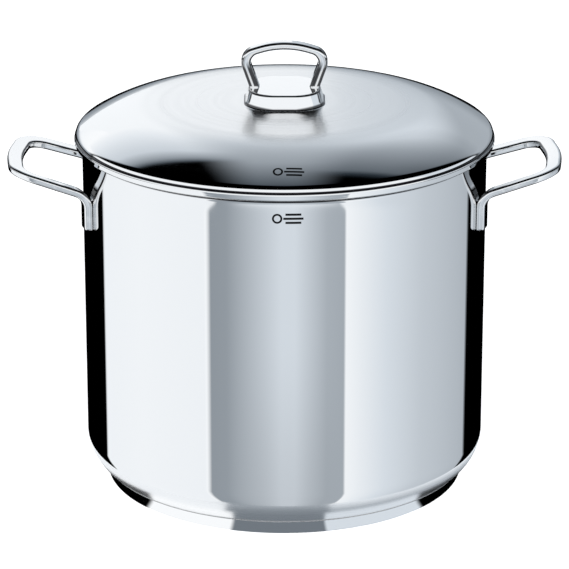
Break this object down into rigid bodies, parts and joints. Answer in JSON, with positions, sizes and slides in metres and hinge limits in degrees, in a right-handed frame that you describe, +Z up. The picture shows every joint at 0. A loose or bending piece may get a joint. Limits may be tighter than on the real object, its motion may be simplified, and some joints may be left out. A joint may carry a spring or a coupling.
{
  "type": "water bath canner",
  "caption": "Deep polished steel canning pot on a capsule base, with two loop handles, a domed lid with a bow handle, and a wire jar rack inside.",
  "frame": {"origin": "on the pot's axis, on the surface that the pot stands on", "axes": "+X through the side handles, +Y towards the back, +Z up"},
  "size_m": [0.3838, 0.2904, 0.3128],
  "materials": {
    "polished_steel": "mirror polished stainless steel outside, satin inside",
    "lid_steel": "mirror polished stainless steel",
    "base_steel": "polished side, fine turned rings below",
    "handle_steel": "mirror polished cast stainless steel",
    "rack_wire": "bright drawn stainless wire",
    "base_aluminium": "plain rolled"
  },
  "bodies": {
    "pot": {"pot_body": "polished_steel", "base_core": "base_aluminium", "base_cap": "base_steel", "side_handle_right": "handle_steel", "side_handle_left": "handle_steel"},
    "lid": {"lid_shell": "lid_steel", "lid_handle_plinth": "handle_steel", "lid_handle_bow": "handle_steel"},
    "rack": {"rack_outer_ring": "rack_wire", "rack_middle_ring": "rack_wire", "rack_inner_ring": "rack_wire", "rack_spokes": "rack_wire", "rack_feet": "rack_wire", "rack_hinge_eyes": "rack_wire"},
    "rack_handle_right": {"rack_handle_right": "rack_wire"},
    "rack_handle_left": {"rack_handle_left": "rack_wire"}
  },
  "joints": [
    {"name": "lid_lift", "type": "slide", "parent": "pot", "child": "lid", "axis": [0, 0, 1], "range_m": [0, 0.3]},
    {"name": "rack_lift", "type": "slide", "parent": "pot", "child": "rack", "axis": [0, 0, 1], "range_m": [0, 0.09]},
    {"name": "rack_handle_right_fold", "type": "hinge", "parent": "rack", "child": "rack_handle_right", "pos_m": [0.12006, 0, 0.0294], "axis": [0, -1, 0], "range_deg": [0, 96]},
    {"name": "rack_handle_left_fold", "type": "hinge", "parent": "rack", "child": "rack_handle_left", "pos_m": [-0.12006, 0, 0.0294], "axis": [0, 1, 0], "range_deg": [0, 96]}
  ]
}
